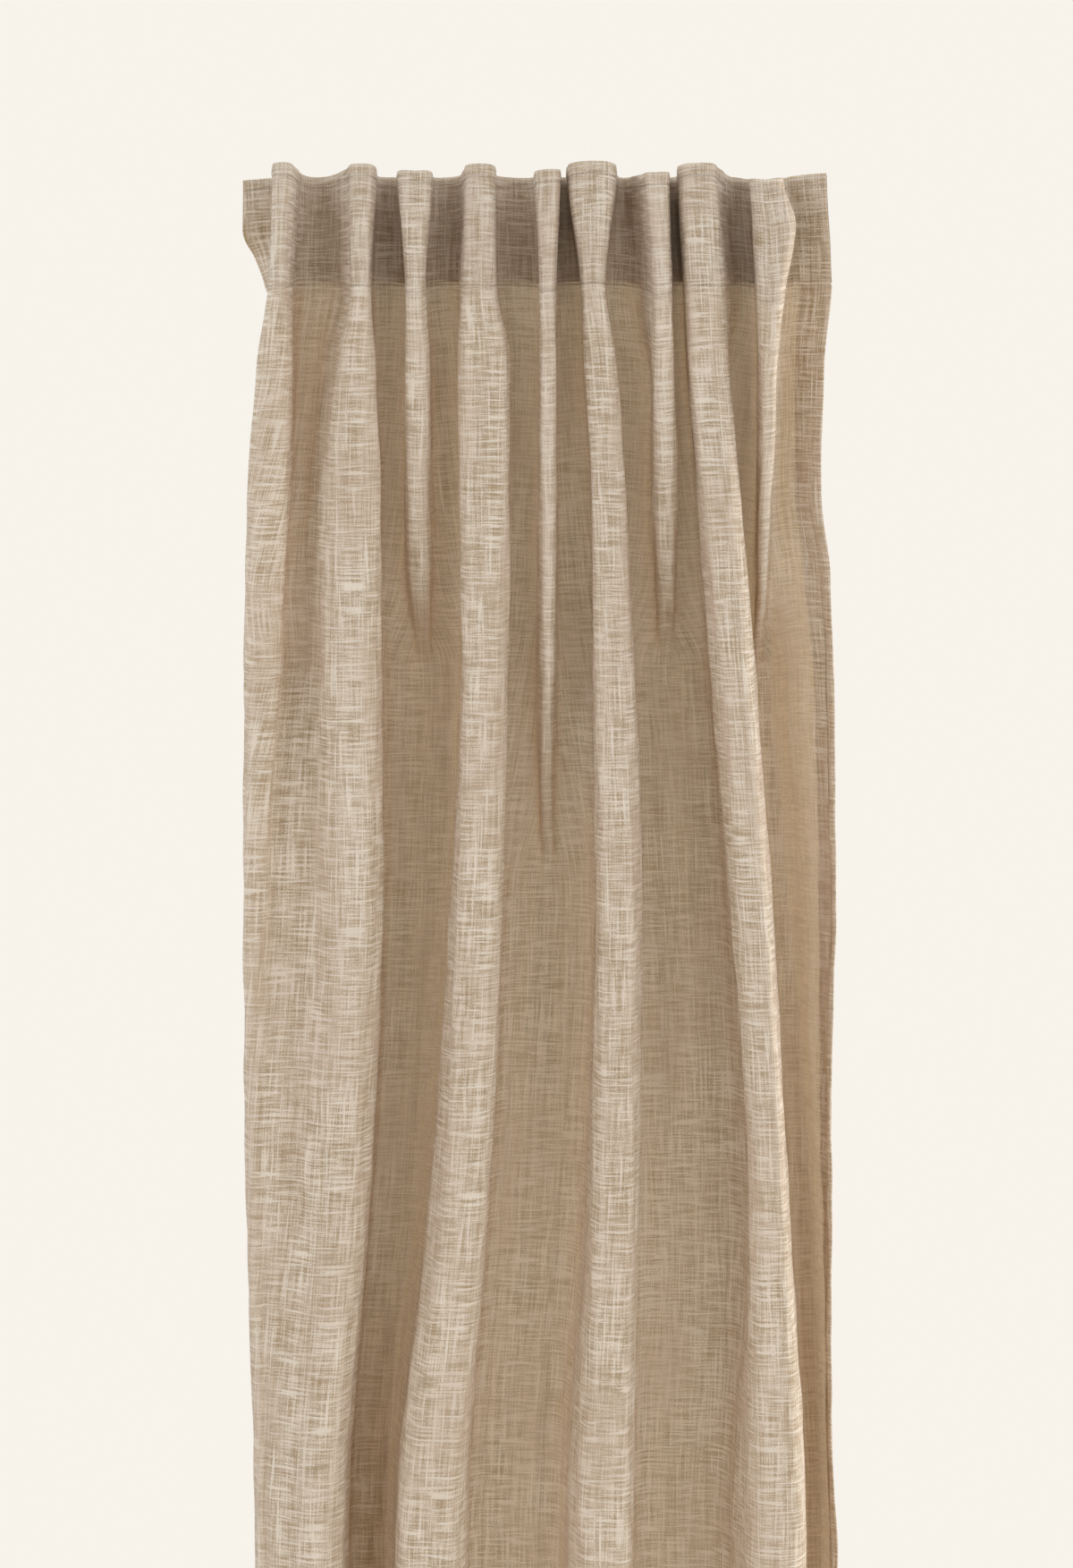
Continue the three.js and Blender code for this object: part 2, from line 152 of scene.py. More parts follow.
# How far inside those sides each fold's left and right foot stands.
FEET = [
    [(31, 4, -4), (-68, 4, -2), (-130, 4, 2), (-350, 4, 0), (-2500, 4, -4)],
    [(31, -18, 4), (-68, -18, 4), (-130, -20, 4), (-350, -14, 4), (-2500, -8, 4)],
    [(31, 4, 4), (-2500, 4, 4)],
    [(31, -4, 4), (-68, -2, 4), (-130, 4, 4), (-350, 4, 4), (-1120, -8, 4), (-2500, -8, 4)],
    [(31, 3, 3), (-2500, 3, 3)],
    [(31, 4, 0), (-130, 4, 4), (-570, 4, 4), (-1120, -10, 4), (-2500, -10, 4)],
    [(31, -12, 4), (-80, -12, 4), (-150, 4, 4), (-2500, 4, 4)],
    [(31, 4, -12), (-80, 4, -12), (-150, 4, 4), (-900, 4, 4), (-1120, -12, 4), (-2500, -12, 4)],
    [(31, 4, 2), (-2500, 4, 2)],
]
# The depth of each fold, as a share of the full depth.
SMALL_FOLD_FADES = [(31, 1), (-80, 1), (-200, 0.8), (-320, 0.42), (-395, 0), (-2500, 0)]
MIDDLE_FOLD_FADES = [(31, 1), (-80, 1), (-300, 0.8), (-450, 0.4), (-600, 0), (-2500, 0)]
FULL = [(31, 1), (-2500, 1)]
FIRST_FOLD_DEPTH = [(31, 1.08), (-68, 1.08), (-200, 1), (-500, 0.9), (-1120, 0.84), (-2500, 0.84)]
FOLD_DEPTHS = [
    FIRST_FOLD_DEPTH, FULL, SMALL_FOLD_FADES, FULL, MIDDLE_FOLD_FADES, FULL, SMALL_FOLD_FADES, FULL,
    SMALL_FOLD_FADES,
]
# The depth of the valley between the first two folds, as a share of the full depth.
FIRST_VALLEY = [(31, 1), (-110, 1), (-330, 0.45), (-560, 0.2), (-1120, 0.1), (-2500, 0.1)]
# The right edge's place, along X and Y.
RIGHT_EDGE = [(31, 241, -36), (-68, 245, -36), (-130, 239, -34), (-240, 236, -32), (-310, 244, -31),
              (-600, 249, -30), (-690, 246, -30), (-1010, 246, -30), (-1130, 250, -30),
              (-2500, 251, -30)]
# Which way the left flap points, in degrees: 180 is left along the rod, and 0 is behind the first fold.
LEFT_EDGE_TURN = [(31, 183), (-14, 180), (-36, 140), (-70, 112), (-110, 95), (-200, 62), (-360, 20),
                  (-560, 8), (-2500, 8)]
DEEP_TURN_BELOW = -90.0  # where the turn after the last long fold may deepen, to take up spare cloth
TURN_SLOPE = 0.25
TURN_WIDTH = 9.0
FADED_FOOT = 2.5  # how far outside its sides a faded fold's feet stand
SHOULDER = 0.12  # as a share of the fold's width
CREST = 3.0  # how far the middle of a crest stands in front of its shoulders
PIVOTS = (1, 3, 5, 7)  # the long folds, whose crests keep their flat places
LAST_PIVOT = 7
DEPTH_COUNT = len(PIVOTS) - 1

# ---- How the section is solved for its flat length ----
FIRST_DEPTH = 50.0
DEPTH_LIMITS = (5.0, 150.0)
EDGE_LIMITS = (EDGE_TO_TAB - 8, 140.0)
TURN_LIMITS = (0.0, 90.0)
ROUNDS = 3
HALVINGS = 18

# ---- How each fold's heading sags on its strap, from the left fold to the right one ----
HEADING_SAG = (0, 0, -6, 0, -5, 2, -8, 0, -14)
LEFT_EDGE_SAG = -3
SAG_FADES = [(31, 1), (-130, 1), (-500, 0), (-2500, 0)]

# ---- How unevenly the cloth hangs ----
PUCKERS = {"seed": 11, "count": 6, "across": (8, 14), "down": (60, 140)}
CREASES = {"seed": 3, "count": 9, "across": (34, 90), "down": (500, 2400)}
RIPPLES = {"seed": 5, "count": 12, "across": (16, 42), "down": (60, 260)}
CREASE_HEIGHT = 1.5
RIPPLE_HEIGHT = 0.35
MORE_RIPPLE_BELOW = 0.25
LOOSE_AFTER = 300  # below the heading, where the creases have their full height
# The bend also sets a painted highlight: the cloth's colour is lightened along sharp fold edges.
SHARP_BEND = 0.5  # the change of the normal from column to column that counts as a full bend

# ---- The fineness of the meshes ----
COLUMN = 2.2
HEADING_ROW = 1.7
FINE_BELOW_HEADING = 20
ROW = 8.0
TAPE_ROW = 3.0
SIDE_HEM_COLUMNS = 15
CURVE_STEPS = 10  # along the section's curve, for each point of its outline
STRAP_STEPS = 72
STRAP_COLUMNS = 11
STRAP_LOOP_STEPS = 18
STRAP_LEG_STEPS = 10
LABEL_ROWS = 12
LABEL_COLUMNS = 9
WELD = 1e-6  # metres
CUT_TOLERANCE = 1e-7  # metres

# ---- The strap ----
STRAP_LOOP = (112, -15)  # where it meets and leaves the rod, in degrees above the way straight back
STRAP_JOG = ((0, 2), (1.4, 3.2))  # how it leaves its upper sewn end: back and down
SELVEDGE = 0.7  # where the thick selvedge starts, as a share of half the strap's width
STRAP_BODY = 0.72  # the strap's thickness inside its selvedges, as a share of the selvedges'
STRAP_STITCH = (TAB_WIDTH - 5, SEWN_PATCH - 4)  # the width and height of its two rows of stitches
STRAP_STITCH_STANDS = 0.75  # behind the middle of the sewn end

# ---- Colours, and yarn sizes in metres ----
LINEN_DEEP = (0.44, 0.30, 0.165, 1)
LINEN_PALE = (0.99, 0.81, 0.60, 1)
LINEN_PINK = (0.70, 0.49, 0.34, 1)
# Painted shade: the dark colour laid along the sewn grooves and the groove beside the rolled edge.
LINEN_SEAM_SHADE = (0.30, 0.21, 0.13, 1)
LINEN_GLOW = (0.66, 0.49, 0.29, 1)
LINEN_SHADE = (0.26, 0.18, 0.10, 1)
LINEN_SHEER = 0.27  # the share of the light that goes through
YARN = 0.0013
SLUB = 0.0022
# The next two are the widths of the painted shade lines in the sewn grooves and in the groove beside the
# roll; the third fades the roll's line.
SEAM_SHADE_LINE = 0.0014
ROLL_LINE = 0.002
ROLL_LINE_FADES = (-0.45, -0.25)  # where it is full and where it is gone, from the top edge up
THREAD_DEEP = (0.50, 0.40, 0.29, 1)
THREAD_PALE = (0.76, 0.66, 0.53, 1)
WEBBING_DEEP = (0.52, 0.43, 0.33, 1)
WEBBING_PALE = (0.86, 0.78, 0.66, 1)
WEBBING_RIB = 0.0012
TAPE_DEEP = (0.48, 0.39, 0.29, 1)
TAPE_PALE = (0.78, 0.69, 0.57, 1)
TAPE_RIB = 0.0009
SATIN_DEEP = (0.72, 0.69, 0.62, 1)
SATIN_PALE = (0.88, 0.86, 0.80, 1)

# ---- Light, floor and camera, in metres ----
BACKDROP = (0.930, 0.896, 0.831, 1)
DAYLIGHT = (0.90, 1.0, 1.16, 1)
LIGHT_AHEAD = 0.3
LIGHT_FROM_SIDES = 1.85
AHEAD_TO_SIDES = (0.1, 0.75)  # where the light changes between them, as a share of the way along X
LIGHT_BEHIND = 0.45  # as a share of the light in front
FRONT_TO_BEHIND = (-0.3, 0.3)  # the same along Y
KEY_LIGHT = {"place": (0.7, -3.0, -1.6), "target": (0, 0, -1.3), "size": 1.6, "power": 11,
             "colour": (0.93, 1.0, 1.08)}
RIM_LIGHT = {"place": (2.6, 0.9, -0.7), "target": (0.2, 0, -0.7), "size": 1.4, "power": 42,
             "colour": (1.0, 1.0, 1.0)}
FLOOR_REACH = 4.0
FLOOR_BELOW = 0.03
FLOOR_COLOUR = (0.84, 0.75, 0.62, 1)
CAMERA_PLACE = (-0.0008, -2.7, -0.479)
CAMERA_SENSOR = 36  # mm
CAMERA_LENS = 73.3  # mm


def build_camera():
    """The camera stands straight in front and looks level at the panel's upper part."""
    data = bpy.data.cameras.new("camera")
    data.sensor_width = CAMERA_SENSOR
    data.lens = CAMERA_LENS
    camera = bpy.data.objects.new("camera", data)
    bpy.context.scene.collection.objects.link(camera)
    camera.location = CAMERA_PLACE
    camera.rotation_euler = (math.pi / 2, 0, 0)
    bpy.context.scene.camera = camera


# ---- The gathered section, for many heights at once ----


def at(table, heights, column=1):
    """A smooth curve through a table's points, with flat ends and no overshoot."""
    z = np.array([row[0] for row in table][::-1], float)
    value = np.array([row[column] for row in table][::-1], float)
    slope = np.diff(value) / np.diff(z)
    tangent = np.zeros(len(z))
    same_way = slope[:-1] * slope[1:] > 0
    tangent[1:-1][same_way] = 2 / (1 / slope[:-1][same_way] + 1 / slope[1:][same_way])
    place = np.clip(heights, z[0], z[-1])
    i = np.clip(np.searchsorted(z, place, "right") - 1, 0, len(z) - 2)
    span = z[i + 1] - z[i]
    t = (place - z[i]) / span
    rise = t * t * (3 - 2 * t)
    bend = span * (tangent[i] * t * (1 - t) ** 2 - tangent[i + 1] * t * t * (1 - t))
    return value[i] + (value[i + 1] - value[i]) * rise + bend


def left_foot(z):
    """Where the left flap's fold line is, along X."""
    return at(FOLDS[0], z) + at(FEET[0], z)


def outline(z, depths, edge, turn):
    """The cloth's outline seen from above at each height, its crests, and its floor, as in the CAD."""
    held = at(HELD_TO_ROD, z)
    front = at(FRONT_PLANE, z)
    floors = [held * CLOTH_PLANE + (1 - held) * (front + depth) for depth in depths]
    swing = np.radians(at(LEFT_EDGE_TURN, z))
    foot = left_foot(z), floors[0]
    points = [
        (foot[0] + reach * np.cos(swing), foot[1] + reach * np.sin(swing))
        for reach in (edge, edge - SIDE_HEM_WIDTH)
    ]
    crests = []
    for i, fold in enumerate(FOLDS):
        left, right, full = at(fold, z), at(fold, z, 2), at(FOLD_DEPTHS[i], z)
        n, m = (min(max(k // 2, 0), len(depths) - 1) for k in (i - 2, i - 1))
        before, after = floors[n] - full * depths[n], floors[m] - full * depths[m]
        shallow = (1 - at(FIRST_VALLEY, z)) * depths[0]
        last = turn if i == LAST_PIVOT else 0 * turn
        valley_before = floors[n] - (shallow if i == 1 else 0)
        valley_after = floors[m] - (shallow if i == 0 else 0) + last
        in_left, in_right = ((at(FEET[i], z, side) + FADED_FOOT) * full - FADED_FOOT for side in (1, 2))
        shoulder = SHOULDER * (right - left)
        right_foot = right - in_right - TURN_SLOPE * last
        points.append((left + in_left, valley_before))
        points.append((left, (valley_before + 2 * before) / 3))
        points.append((left + shoulder, before))
        crests.append(len(points))
        points.append(((left + right) / 2, (before + after) / 2 - CREST * full))
        points.append((right - shoulder, after))
        points.append((right, (valley_after + 2 * after) / 3))
        points.append((right_foot, valley_after))
        if i == LAST_PIVOT:
            points.append((right_foot + TURN_WIDTH, valley_after))
    x, y = at(RIGHT_EDGE, z), at(RIGHT_EDGE, z, 2)
    share = SIDE_HEM_WIDTH / np.hypot(points[-1][0] - x, points[-1][1] - y)
    points.append((x + share * (points[-1][0] - x), y + share * (points[-1][1] - y)))
    points.append((x, y))
    return np.stack([np.stack(point, -1) for point in points], 1), crests, floors[1]


def smooth(points):
    """A quadratic spline along each row of points: it touches the sides' middles and rounds corners."""
    pieces = [points[:, :1]]
    for i in range(1, points.shape[1] - 1):
        a, b, c = (points[:, k, None] for k in (i - 1, i, i + 1))
        first = 0 if i == 1 else 1
        t = (np.arange(first, CURVE_STEPS + 1) / CURVE_STEPS)[None, :, None]
        pieces.append((1 - t) ** 2 / 2 * a + (0.5 + t * (1 - t)) * b + t * t / 2 * c)
    pieces.append(points[:, -1:])
    return np.concatenate(pieces, 1)


def lengths(curve):
    """How far along its curve each point is, at each height."""
    steps = np.hypot(*np.moveaxis(np.diff(curve, axis=1), -1, 0))
    return np.concatenate([np.zeros((len(curve), 1)), np.cumsum(steps, 1)], 1)


def curve_index(point):
    """The place on the spline nearest to a point of the outline."""
    return (point - 1) * CURVE_STEPS + CURVE_STEPS // 2 + 1


FLAT_STOPS = np.array([0, *(EDGE_TO_TAB + (fold + 0.5) * TAB_PITCH for fold in PIVOTS), PANEL_WIDTH])


def solve_sections(z):
    """The section's curve at each height, with each stretch at its flat length."""
    values = {
        "depths": [np.full(len(z), FIRST_DEPTH) for _ in range(DEPTH_COUNT)],
        "edge": np.full(len(z), EDGE_TO_TAB),
        "turn": np.zeros(len(z)),
    }

    def stops():
        points, crests, floor = outline(z, values["depths"], values["edge"], values["turn"])
        curve = smooth(points)
        marks = [0, *(curve_index(crests[fold]) for fold in PIVOTS), curve.shape[1] - 1]
        return curve, lengths(curve), marks, floor

    def settle(stretch, limits, put):
        """Halves the limits until the stretch has its flat length at each height."""
        low, high = (np.full(len(z), limit) for limit in limits)
        for _ in range(HALVINGS):
            middle = (low + high) / 2
            put(middle)
            _, along, marks, _ = stops()
            has = along[:, marks[stretch + 1]] - along[:, marks[stretch]]
            longer = FLAT_STOPS[stretch + 1] - FLAT_STOPS[stretch] > has
            low, high = np.where(longer, middle, low), np.where(longer, high, middle)

    def put_depth(n):
        def put(value):
            values["depths"][n] = value

        return put

    def put_edge(value):
        values["edge"] = value

    def put_turn(value):
        values["turn"] = np.where(z < DEEP_TURN_BELOW, value, 0)

    for _ in range(ROUNDS):
        for n in range(DEPTH_COUNT):
            settle(n + 1, DEPTH_LIMITS, put_depth(n))
        settle(0, EDGE_LIMITS, put_edge)
        settle(DEPTH_COUNT + 1, TURN_LIMITS, put_turn)
    return (*stops(), values["depths"][1])


def even_columns(curve, along, marks, flat):
    """Points of the curve at the given flat distances, at each height."""
    rows = np.empty((len(curve), len(flat), 2))
    for r in range(len(curve)):
        warped = np.interp(along[r], along[r, marks], FLAT_STOPS)
        rows[r, :, 0] = np.interp(flat, warped, curve[r, :, 0])
        rows[r, :, 1] = np.interp(flat, warped, curve[r, :, 1])
    return rows


# ---- The sheet ----


def waves(u, v, seed, count, across, down):
    """A sum of slanting sine waves, between about -1 and 1, with the given ranges of wavelength."""
    random = np.random.default_rng(seed)
    total = np.zeros(np.broadcast(u, v).shape)
    for _ in range(count):
        wave_u, wave_v = random.uniform(*across), random.uniform(*down) * random.choice((-1, 1))
        total += np.sin(2 * np.pi * (u / wave_u + v / wave_v) + random.uniform(0, 2 * np.pi))
    return total / math.sqrt(count)


def row_places():
    """The mesh's rows below the top edge: close in the heading, and wider below it."""
    heading = np.arange(0, BAND_HEIGHT + FINE_BELOW_HEADING, HEADING_ROW)
    count = round((PANEL_LENGTH - heading[-1]) / ROW)
    return np.concatenate([heading, np.linspace(heading[-1], PANEL_LENGTH, count + 1)[1:]])


def heading_sag(u, z):
    """How far each fold's heading hangs below the straight one."""
    crests = EDGE_TO_TAB + (np.arange(len(FOLDS)) + 0.5) * TAB_PITCH
    feet = EDGE_TO_TAB + np.arange(TAB_COUNT) * TAB_PITCH
    places = np.concatenate([[0], np.sort(np.concatenate([crests, feet])), [PANEL_WIDTH]])
    sags = np.zeros(len(places))
    sags[0] = LEFT_EDGE_SAG
    sags[2:-2:2] = HEADING_SAG
    near = np.interp(u, places, sags)
    return near[None, :] * at(SAG_FADES, z)[:, None]


def normals_of(points):
    """The unit normals of a grid of points, which point behind the cloth."""
    across = np.gradient(points, axis=1)
    down = np.gradient(points, axis=0)
    normal = np.cross(across, down)
    return normal / np.linalg.norm(normal, axis=2, keepdims=True)


def soften(values, axis, reach):
    """A running mean with rounded weights, over reach samples to each side."""
    weights = np.cos(np.linspace(-0.5, 0.5, 2 * reach + 3)[1:-1] * np.pi) ** 2
    weights /= weights.sum()
    padded = np.concatenate(
        [np.repeat(values.take([0], axis), reach, axis), values,
         np.repeat(values.take([-1], axis), reach, axis)], axis)
    size = values.shape[axis]
    return sum(w * padded.take(range(k, k + size), axis) for k, w in enumerate(weights))


def relief(u, v):
    """How far the sewing pulls the cloth in (positive) or lets it puff out, over the flat cloth."""

    def groove(distance, depth, width):
        return depth * np.exp(-(distance / width) ** 2)

    puffed = -TOP_PUFF * np.sin(np.pi * np.clip(v / TOP_STITCH, 0, 1))
    sewn = sum(groove(v - place, *sunk) for place, sunk, _ in SEWN_LINES)
    near = sum(groove(v - place, *puckered) for place, _, puckered in SEWN_LINES)
    pulled = waves(u, v, **PUCKERS) * near
    from_right = PANEL_WIDTH - u
    rolled = groove(from_right - ROLLED_EDGE, *ROLL_GROOVE)
    rolled = rolled - ROLL_HEIGHT * np.sin(np.pi * np.clip(from_right / (ROLLED_EDGE - 1), 0, 1))
    free = np.clip((v - BAND_HEIGHT - ROLL_STARTS) / ROLL_GROWS_OVER, 0, 1)
    return puffed + sewn + pulled + free * rolled


class Cloth:
    """The whole sheet in its gathered shape, and any layer laid over it by its flat place."""

    def __init__(self):
        self.v = row_places()
        self.u = np.linspace(0, PANEL_WIDTH, round(PANEL_WIDTH / COLUMN) + 1)
        u, v = self.u[None, :], self.v[:, None]
        z = TOP - self.v
        curve, along, marks, floor, depth = solve_sections(z)
        flat = even_columns(curve, along, marks, self.u)
        forward = np.clip((floor[:, None] - flat[..., 1]) / depth[:, None], 0, 1)
        lift = LIFT * (1 - forward) * np.clip(v / BAND_HEIGHT, 0, 1)
        points = np.dstack([flat, z[:, None] + lift + heading_sag(self.u, z)])
        below = np.clip((v - BAND_HEIGHT) / LOOSE_AFTER, 0, 1)
        creases = below * CREASE_HEIGHT * waves(u, v, **CREASES)
        ripples = (RIPPLE_HEIGHT + MORE_RIPPLE_BELOW * below) * waves(u, v, **RIPPLES)
        uneven = creases + ripples + relief(u, v)
        self.points = points + normals_of(points) * uneven[..., None]
        self.normals = normals_of(self.points)
        # The bend, also stored on the meshes, drives a painted highlight along the folds' sharp edges.
        bend = np.linalg.norm(np.gradient(normals_of(points), axis=1), axis=2)
        self.bend = soften(np.clip(bend / SHARP_BEND, 0, 1), 1, 2)

    def over(self, values, u, v):
        """Values of the sheet's grid at flat places u across by v down, also between its points."""
        places = []
        for wanted, known in ((v, self.v), (u, self.u)):
            first = np.clip(np.searchsorted(known, wanted, "right") - 1, 0, len(known) - 2)
            places.append((first, (wanted - known[first]) / (known[first + 1] - known[first])))
        (i, s), (j, t) = places
        s, t = np.broadcast_to(s, i.shape)[..., None], np.broadcast_to(t, j.shape)[..., None]
        upper = values[i, j] * (1 - t) + values[i, j + 1] * t
        lower = values[i + 1, j] * (1 - t) + values[i + 1, j + 1] * t
        return upper * (1 - s) + lower * s

    def layer(self, u, v, offset):
        """Points over the flat grid u by v, at an offset behind the middle of the cloth."""
        across, down = np.meshgrid(u, v)
        behind = np.broadcast_to(offset, across.shape)[..., None]
        return self.over(self.points, across, down) + self.over(self.normals, across, down) * behind

    def turned_edge(self, u, v, outward):
        """Points of the rounded turn from the cloth's edge to the layer behind it, as a list of rows."""
        edge, normal = self.over(self.points, u, v), self.over(self.normals, u, v)
        radius = LAYER_GAP / 2
        return [
            edge + outward * radius * np.sin(turn) + normal * radius * (1 - np.cos(turn))
            for turn in np.radians(TURN_ANGLES)
        ]


# ---- Meshes ----


def new_mesh(name, points, corners, totals, flat, bend):
    """A mesh object from arrays: points in metres, each face's corners, and each corner's flat place."""
    mesh = bpy.data.meshes.new(name)
    mesh.vertices.add(len(points))
    mesh.vertices.foreach_set("co", points.astype(np.float32).ravel())
    mesh.loops.add(len(corners))
    mesh.loops.foreach_set("vertex_index", corners.astype(np.int32))
    mesh.polygons.add(len(totals))
    mesh.polygons.foreach_set("loop_start", (np.cumsum(totals) - totals).astype(np.int32))
    mesh.update(calc_edges=True)
    mesh.uv_layers.new(name="flat").data.foreach_set("uv", flat.astype(np.float32).ravel())
    mesh.attributes.new("bend", "FLOAT", "POINT").data.foreach_set("value", bend.astype(np.float32))
    mesh.shade_smooth()
    made = bpy.data.objects.new(name, mesh)
    bpy.context.scene.collection.objects.link(made)
    return made


def grid_object(name, points, u, v, material, bend=None):
    """A mesh of one layer over a grid of points, with its flat distances in metres as its UV map."""
    rows, columns = points.shape[:2]
    index = np.arange(rows * columns).reshape(rows, columns)
    quads = np.stack([index[1:, :-1], index[1:, 1:], index[:-1, 1:], index[:-1, :-1]], -1).reshape(-1)
    flat = np.stack(np.meshgrid(u * MM, -v * MM), -1).reshape(-1, 2)[quads]
    bend = np.zeros(rows * columns) if bend is None else bend.ravel()
    totals = np.full(len(quads) // 4, 4)
    made = new_mesh(name, points.reshape(-1, 3) * MM, quads, totals, flat, bend)
    made.data.materials.append(material)
    return made


def close_up(made):
    """Welds a piece's seam and fills its open ends."""
    work = bmesh.new()
    work.from_mesh(made.data)
    bmesh.ops.remove_doubles(work, verts=work.verts, dist=WELD)
    bmesh.ops.holes_fill(work, edges=[edge for edge in work.edges if edge.is_boundary])
    work.to_mesh(made.data)
    work.free()
    made.data.shade_smooth()


def read(collection, key, size, kind=np.float32):
    """An attribute of a whole collection as an array, with size values in a row."""
    values = np.empty(len(collection) * size, kind)
    collection.foreach_get(key, values)
    return values.reshape(-1, size) if size > 1 else values


def tab_middles():
    """Where each tab's middle is along the rod, in metres."""
    return [sum(corner.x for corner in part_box(f"back_tab_{tab}")) / 2 for tab in TABS]


def cut_upright(mesh, places):
    """Cuts a mesh of quads where they cross each place along the rod, and leaves them joined."""
    x = read(mesh.vertices, "co", 3)[read(mesh.loops, "vertex_index", 1, np.int32), 0].reshape(-1, 4)
    work = bmesh.new()
    work.from_mesh(mesh)
    work.faces.ensure_lookup_table()
    crossing = [np.nonzero((x.min(1) < place) & (x.max(1) > place))[0] for place in places]
    faces = [[work.faces[i] for i in chosen] for chosen in crossing]
    for place, cut in zip(places, faces):
        around = {item for face in cut if face.is_valid for item in (face, *face.edges, *face.verts)}
        plane = {"plane_co": (place, 0, 0), "plane_no": (1, 0, 0)}
        bmesh.ops.bisect_plane(work, geom=list(around), dist=CUT_TOLERANCE, **plane)
    work.to_mesh(mesh)
    work.free()


def part_of(mesh, chosen, name):
    """The chosen faces of a mesh as an object of their own, shaded as they were in the whole mesh."""
    totals = read(mesh.polygons, "loop_total", 1, np.int32)
    loops = np.nonzero(np.repeat(chosen, totals))[0]
    used, corners = np.unique(read(mesh.loops, "vertex_index", 1, np.int32)[loops], return_inverse=True)
    points = read(mesh.vertices, "co", 3)[used]
    flat = read(mesh.uv_layers["flat"].data, "uv", 2)[loops]
    bend = read(mesh.attributes["bend"].data, "value", 1)[used]
    made = new_mesh(name, points, corners, totals[chosen], flat, bend)
    made.data.normals_split_custom_set_from_vertices(read(mesh.vertex_normals, "vector", 3)[used])
    for material in mesh.materials:
        made.data.materials.append(material)
    return made


def flat_area(mesh):
    """The area of the cut piece, from the UV map, which holds flat distances in metres."""
    x, y = read(mesh.uv_layers["flat"].data, "uv", 2).astype(float).T
    starts = read(mesh.polygons, "loop_start", 1, np.int32)
    following = np.arange(len(x)) + 1
    following[np.append(starts[1:], len(x)) - 1] = starts
    twice = np.add.reduceat(x * y[following] - x[following] * y, starts)
    return float(np.abs(twice).sum() / 2)


def split_at_tabs(whole, nodes, length=None):
    """Cuts an object into the slabs between neighbouring tabs, and hides the CAD nodes that each slab
    stands for.

    nodes gives the CAD nodes that slab k stands for. length is a sheet's flat length in metres.
    """
    middles = tab_middles()
    if length:
        cut_upright(whole.data, middles[1:-1])
    slab_of = np.searchsorted(middles[1:-1], read(whole.data.polygons, "center", 3)[:, 0])
    slabs = {}
    for k in np.unique(slab_of):
        slab = part_of(whole.data, slab_of == k, f"{whole.name}_{TABS[k]}")
        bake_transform(slab)
        if nodes(k):
            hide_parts(*nodes(k))
        slabs[k] = slab
    bpy.data.objects.remove(whole)
    if length:
        declare_sheets(slabs, length)


def declare_sheets(slabs, length):
    """Works out each slab's flat width from its flat area; the widths are not used further."""
    widths = {k: flat_area(slab.data) / length for k, slab in slabs.items()}


def sections(kind):
    """The CAD nodes of one kind that each slab stands for: the last slab has the last two."""

    def nodes(k):
        last = [f"{kind}_{TABS[k + 1]}"] if k == TAB_COUNT - 2 else []
        return [f"{kind}_{TABS[k]}", *last]

    return nodes


# ---- Materials ----


class Shader:
    """The node tree of a material or of the world, with short calls for the nodes that they use."""

    def __init__(self, owner):
        owner.use_nodes = True
        self.owner = owner
        self.tree = owner.node_tree
        self.tree.nodes.clear()

    def put(self, value, socket):
        """Links another node's socket to this one, or sets this one's own value."""
        if isinstance(value, bpy.types.NodeSocket):
            self.tree.links.new(value, socket)
        else:
            socket.default_value = value

    def node(self, kind, inputs=(), **settings):
        made = self.tree.nodes.new(kind)
        for key, value in settings.items():
            setattr(made, key, value)
        for key, value in dict(inputs).items():
            self.put(value, made.inputs[key])
        return made

    def math(self, operation, a, b=0.0, clamp=False):
        return self.node("ShaderNodeMath", {0: a, 1: b}, operation=operation, use_clamp=clamp).outputs[0]

    def total(self, *weighted):
        """The sum of (value, weight) pairs."""
        terms = [self.math("MULTIPLY", value, weight) for value, weight in weighted]
        result = terms[0]
        for term in terms[1:]:
            result = self.math("ADD", result, term)
        return result

    def range(self, value, low, high, to_low=0.0, to_high=1.0):
        """The value, mapped from low and high to to_low and to_high, and held between them."""
        inputs = {"Value": value, "From Min": low, "From Max": high, "To Min": to_low, "To Max": to_high}
        return self.node("ShaderNodeMapRange", inputs).outputs["Result"]

    def stretched_noise(self, flat, across, down, detail=1.0, roughness=0.5):
        """Noise on the flat cloth whose grains are across by down metres."""
        scaled = self.node(
            "ShaderNodeMapping", {"Vector": flat, "Scale": (1 / across, 1 / down, 1.0)}).outputs[0]
        inputs = {"Vector": scaled, "Scale": 1.0, "Detail": detail, "Roughness": roughness}
        return self.node("ShaderNodeTexNoise", inputs, noise_dimensions="2D").outputs[0]

    def line(self, value, place, width):
        """1 along a line where the value is at the place, and 0 beyond its width."""
        away = self.math("ABSOLUTE", self.math("SUBTRACT", value, place))
        full, gone = 0.3 * width, 0.7 * width
        return self.range(away, full, gone, 1.0, 0.0)

    def mix(self, share, a, b):
        """Colour a, turning into colour b as the share goes from 0 to 1."""
        return self.node("ShaderNodeMix", {0: share, 6: a, 7: b}, data_type="RGBA").outputs[2]

    def flat(self):
        """The place on the flat cloth, in metres."""
        return self.node("ShaderNodeUVMap", uv_map="flat").outputs[0]

    def bump(self, height, strength, distance):
        inputs = {"Height": height, "Strength": strength, "Distance": distance}
        return self.node("ShaderNodeBump", inputs).outputs[0]

    def finish(self, surface, output="ShaderNodeOutputMaterial"):
        self.node(output, {"Surface": surface.outputs[0]})
        return self.owner


